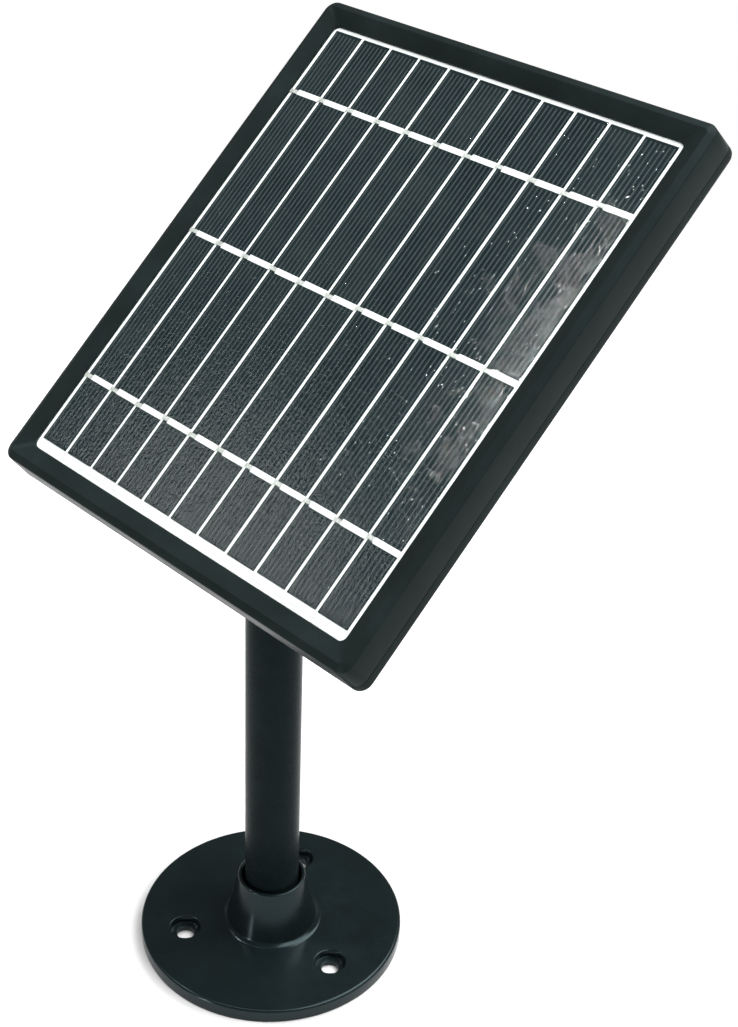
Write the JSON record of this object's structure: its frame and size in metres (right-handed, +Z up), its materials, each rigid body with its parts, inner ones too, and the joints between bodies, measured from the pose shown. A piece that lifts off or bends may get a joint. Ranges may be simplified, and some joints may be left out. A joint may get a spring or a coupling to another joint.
{
  "type": "solar panel on a stand for a security camera",
  "caption": "Small framed solar panel that tilts and swivels on a pole with a round screw-down base, the power source of a wireless security camera.",
  "frame": {"origin": "centre of the base plate's underside, on the pole's axis", "axes": "+Z up the pole, +X along the panel's width and the tilt axis, the panel faces -Y and upwards"},
  "size_m": [0.1458, 0.1338, 0.2699],
  "materials": {
    "black_metal": "satin black powder coat",
    "black_plastic": "fine textured black plastic",
    "frame_plastic": "satin black plastic",
    "cover_plastic": "spark-textured black plastic",
    "zinc_steel": "zinc plated",
    "brass": "turned brass",
    "acetal": "natural acetal",
    "fibre": "pressed fibre",
    "seal_rubber": "silicone rubber",
    "clear_film": "pebbled clear polymer film",
    "silicon": "dark coated silicon",
    "tinned_copper": "tinned ribbon",
    "encapsulant": "white encapsulant sheet",
    "white_board": "white laminate board",
    "foam_tape": "foam tape",
    "board_green": "solder mask",
    "chip_resin": "moulded resin",
    "ferrite": "ferrite",
    "ceramic": "ceramic",
    "lead_red": "lead insulation",
    "lead_black": "lead insulation"
  },
  "bodies": {
    "stand": {"base_plate": "black_metal", "pole": "black_metal", "pole_foot_plug": "brass", "foot_screw": "zinc_steel", "foot_washer": "zinc_steel", "top_bush": "acetal"},
    "head": {"swivel_head": "black_plastic", "spigot_washer": "zinc_steel", "spigot_screw": "zinc_steel", "hinge_bolt": "zinc_steel", "friction_washers": "fibre"},
    "knob_washer_body": {"knob_washer": "zinc_steel"},
    "knob": {"tilt_knob": "black_plastic", "knob_insert": "brass"},
    "panel": {"hinge_bracket": "black_plastic", "bracket_screws": "zinc_steel", "front_frame": "frame_plastic", "rear_cover": "cover_plastic", "cover_screws": "zinc_steel", "frame_seal": "seal_rubber", "clear_film": "clear_film", "solar_cells": "silicon", "cell_ribbons": "tinned_copper", "end_ribbons": "tinned_copper", "encapsulant": "encapsulant", "backing_board": "white_board", "laminate_tape": "foam_tape", "circuit_board": "board_green", "board_screws": "zinc_steel", "regulator_chip": "chip_resin", "inductor": "ferrite", "blocking_diode": "chip_resin", "capacitors": "ceramic", "positive_lead": "lead_red", "negative_lead": "lead_black", "cable_gland": "black_plastic", "gland_locknut": "black_plastic", "gland_seal": "seal_rubber", "gland_nut": "black_plastic"}
  },
  "joints": [
    {"name": "head_swivel", "type": "hinge", "parent": "stand", "child": "head", "pos_m": [0, 0, 0.125], "axis": [0, 0, 1], "continuous": true},
    {"name": "panel_tilt", "type": "hinge", "parent": "head", "child": "panel", "pos_m": [0, 0, 0.1576], "axis": [1, 0, 0], "range_deg": [-41.3, 48.7]},
    {"name": "knob_washer_travel", "type": "slide", "parent": "head", "child": "knob_washer_body", "axis": [1, 0, 0], "range_m": [0, 0.0008]},
    {"name": "knob_turn", "type": "hinge", "parent": "knob_washer_body", "child": "knob", "pos_m": [0.0108, 0, 0.1576], "axis": [1, 0, 0], "range_deg": [0, 360]}
  ],
  "couplings": [
    {"joint": "knob_washer_travel", "follows": "knob_turn", "m_per_rad": 0.00012732}
  ]
}
